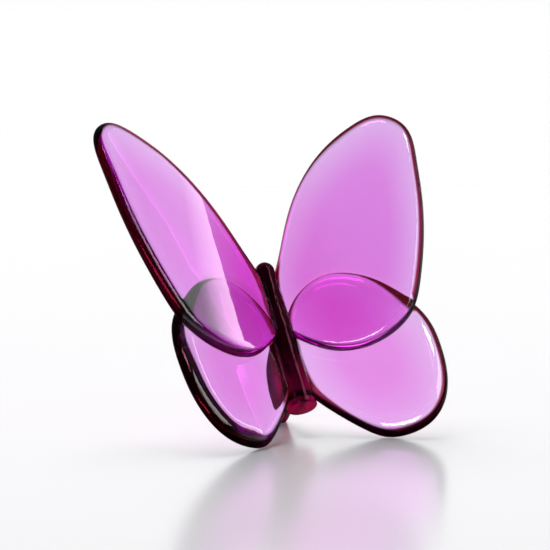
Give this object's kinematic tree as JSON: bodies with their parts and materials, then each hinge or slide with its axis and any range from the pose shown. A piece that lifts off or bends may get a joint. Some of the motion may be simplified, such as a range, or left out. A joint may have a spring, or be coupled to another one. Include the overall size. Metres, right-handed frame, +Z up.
{
  "type": "butterfly ornament",
  "caption": "Free-standing butterfly ornament of clear violet crystal: overlapping oval wings spread in a V from a slim dark body, which rests on a keel and on the lower wing rims.",
  "frame": {"origin": "on the ground foot of the keel, in the plane of symmetry", "axes": "+Z up, +X towards the right wing, -Y towards the front, which the wings open to"},
  "size_m": [0.0768, 0.0495, 0.0661],
  "materials": {
    "crystal": "polished clear violet crystal",
    "clear_bond": "clear cured adhesive film"
  },
  "bodies": {
    "root": {"body": "crystal", "left_forewing": "crystal", "right_forewing": "crystal", "left_hindwing": "crystal", "right_hindwing": "crystal", "left_lap_bond": "clear_bond", "right_lap_bond": "clear_bond", "left_forewing_bond": "clear_bond", "right_forewing_bond": "clear_bond", "left_hindwing_bond": "clear_bond", "right_hindwing_bond": "clear_bond"}
  },
  "joints": []
}
